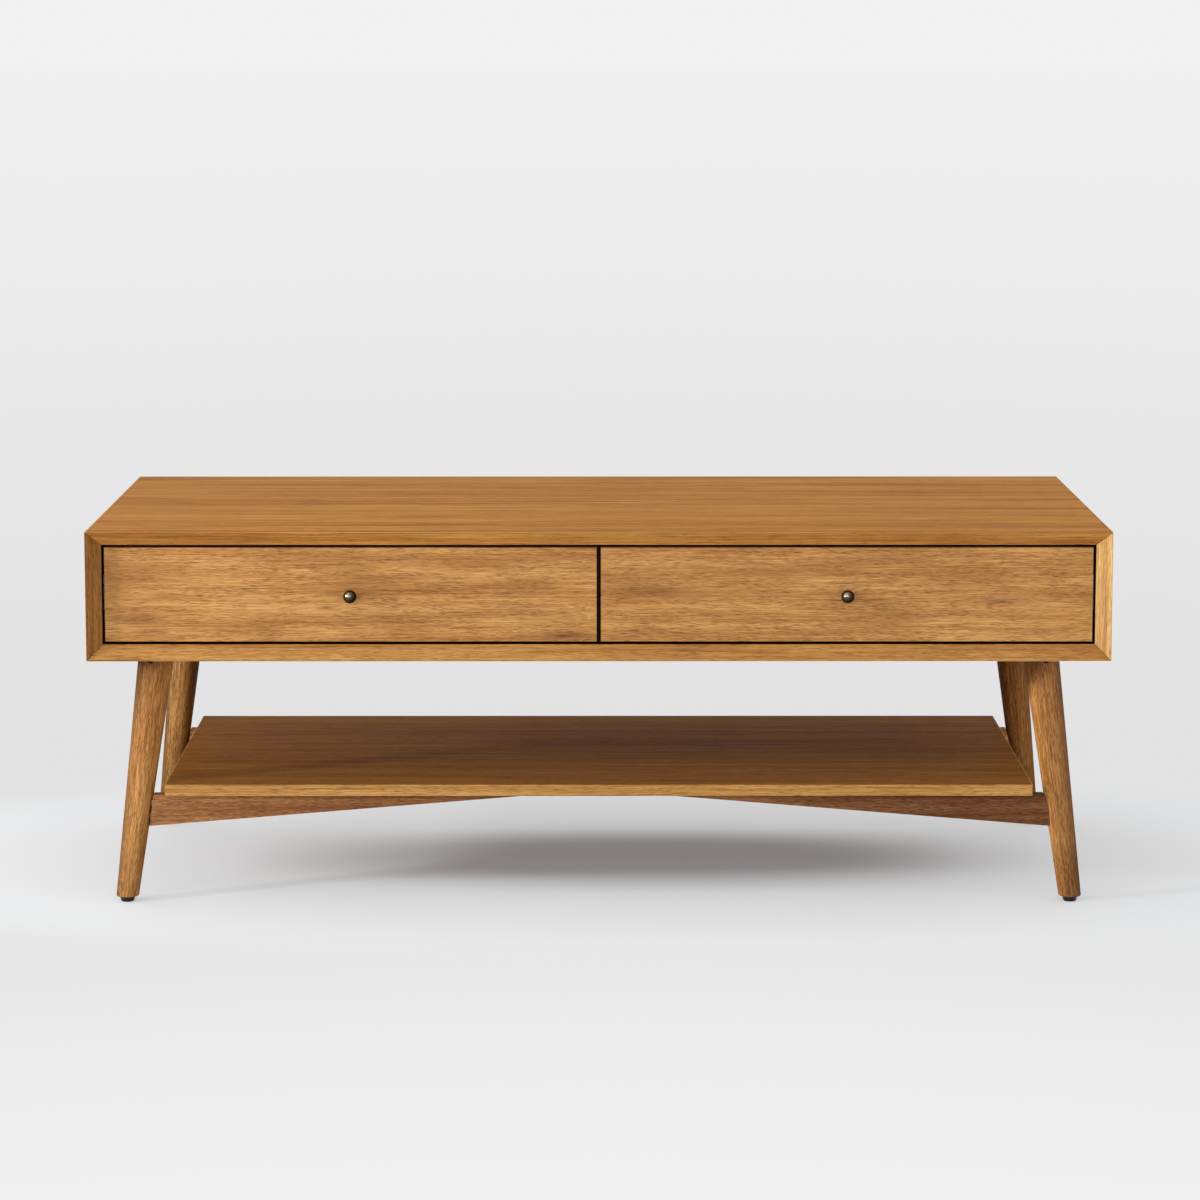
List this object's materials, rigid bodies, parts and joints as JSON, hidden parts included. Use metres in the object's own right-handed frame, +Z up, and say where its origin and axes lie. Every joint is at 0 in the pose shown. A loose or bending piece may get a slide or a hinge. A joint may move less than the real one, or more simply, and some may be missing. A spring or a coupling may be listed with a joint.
{
  "type": "storage coffee table",
  "caption": "Long low coffee table: a mitred case with inset drawers on splayed round tapered legs, over a thin lower shelf.",
  "frame": {"origin": "on the floor, below the middle of the case", "axes": "+X along the table, to the right as seen from the drawers; +Y from the drawer fronts to the back; +Z up"},
  "size_m": [1.219, 0.616, 0.457],
  "materials": {
    "top_veneer": "satin lacquered veneer, honey brown",
    "side_veneer": "satin lacquered veneer, honey brown",
    "base_veneer": "satin lacquered veneer, honey brown",
    "back_veneer": "satin lacquered veneer, honey brown",
    "front_veneer": "satin lacquered veneer, golden brown",
    "shelf_veneer": "satin lacquered veneer, brown",
    "leg_wood": "satin lacquered solid wood",
    "rail_wood": "satin lacquered solid wood",
    "divider_board": "veneered board",
    "joinery_wood": "bare beech",
    "box_wood": "clear lacquered solid wood",
    "bottom_plywood": "clear lacquered plywood",
    "knob_bronze": "dark antique bronze",
    "glide_nylon": "black nylon",
    "bumper_rubber": "clear rubber",
    "slide_steel": "zinc-plated steel",
    "fixing_steel": "zinc-plated steel"
  },
  "bodies": {
    "case": {"top_panel": "top_veneer", "bottom_panel": "base_veneer", "left_side_panel": "side_veneer", "right_side_panel": "side_veneer", "mitre_splines": "joinery_wood", "centre_divider": "divider_board", "back_panel": "back_veneer", "drawer_bumpers": "bumper_rubber", "front_left_leg": "leg_wood", "front_right_leg": "leg_wood", "back_left_leg": "leg_wood", "back_right_leg": "leg_wood", "leg_glides": "glide_nylon", "leg_bolts": "fixing_steel", "leg_washers": "fixing_steel", "leg_barrel_nuts": "fixing_steel", "front_rail": "rail_wood", "back_rail": "rail_wood", "rail_dowels": "joinery_wood", "lower_shelf": "shelf_veneer", "shelf_screws": "fixing_steel", "left_case_slide_members": "slide_steel", "right_case_slide_members": "slide_steel", "case_slide_screws": "fixing_steel"},
    "left_drawer": {"left_drawer_front": "front_veneer", "left_drawer_box_front": "box_wood", "left_drawer_box_back": "box_wood", "left_drawer_inner_side": "box_wood", "left_drawer_outer_side": "box_wood", "left_drawer_bottom": "bottom_plywood", "left_drawer_knob": "knob_bronze", "left_knob_screw": "fixing_steel", "left_drawer_front_screws": "fixing_steel", "left_drawer_slide_members": "slide_steel", "left_drawer_slide_screws": "fixing_steel"},
    "left_slide_middles": {"left_middle_slide_members": "slide_steel"},
    "right_drawer": {"right_drawer_front": "front_veneer", "right_drawer_box_front": "box_wood", "right_drawer_box_back": "box_wood", "right_drawer_inner_side": "box_wood", "right_drawer_outer_side": "box_wood", "right_drawer_bottom": "bottom_plywood", "right_drawer_knob": "knob_bronze", "right_knob_screw": "fixing_steel", "right_drawer_front_screws": "fixing_steel", "right_drawer_slide_members": "slide_steel", "right_drawer_slide_screws": "fixing_steel"},
    "right_slide_middles": {"right_middle_slide_members": "slide_steel"}
  },
  "joints": [
    {"name": "left_drawer_slide", "type": "slide", "parent": "case", "child": "left_drawer", "axis": [0, -1, 0], "range_m": [0, 0.44]},
    {"name": "left_middle_slide", "type": "slide", "parent": "case", "child": "left_slide_middles", "axis": [0, -1, 0], "range_m": [0, 0.22]},
    {"name": "right_drawer_slide", "type": "slide", "parent": "case", "child": "right_drawer", "axis": [0, -1, 0], "range_m": [0, 0.44]},
    {"name": "right_middle_slide", "type": "slide", "parent": "case", "child": "right_slide_middles", "axis": [0, -1, 0], "range_m": [0, 0.22]}
  ],
  "couplings": [
    {"joint": "left_middle_slide", "follows": "left_drawer_slide", "ratio": 0.5},
    {"joint": "right_middle_slide", "follows": "right_drawer_slide", "ratio": 0.5}
  ]
}
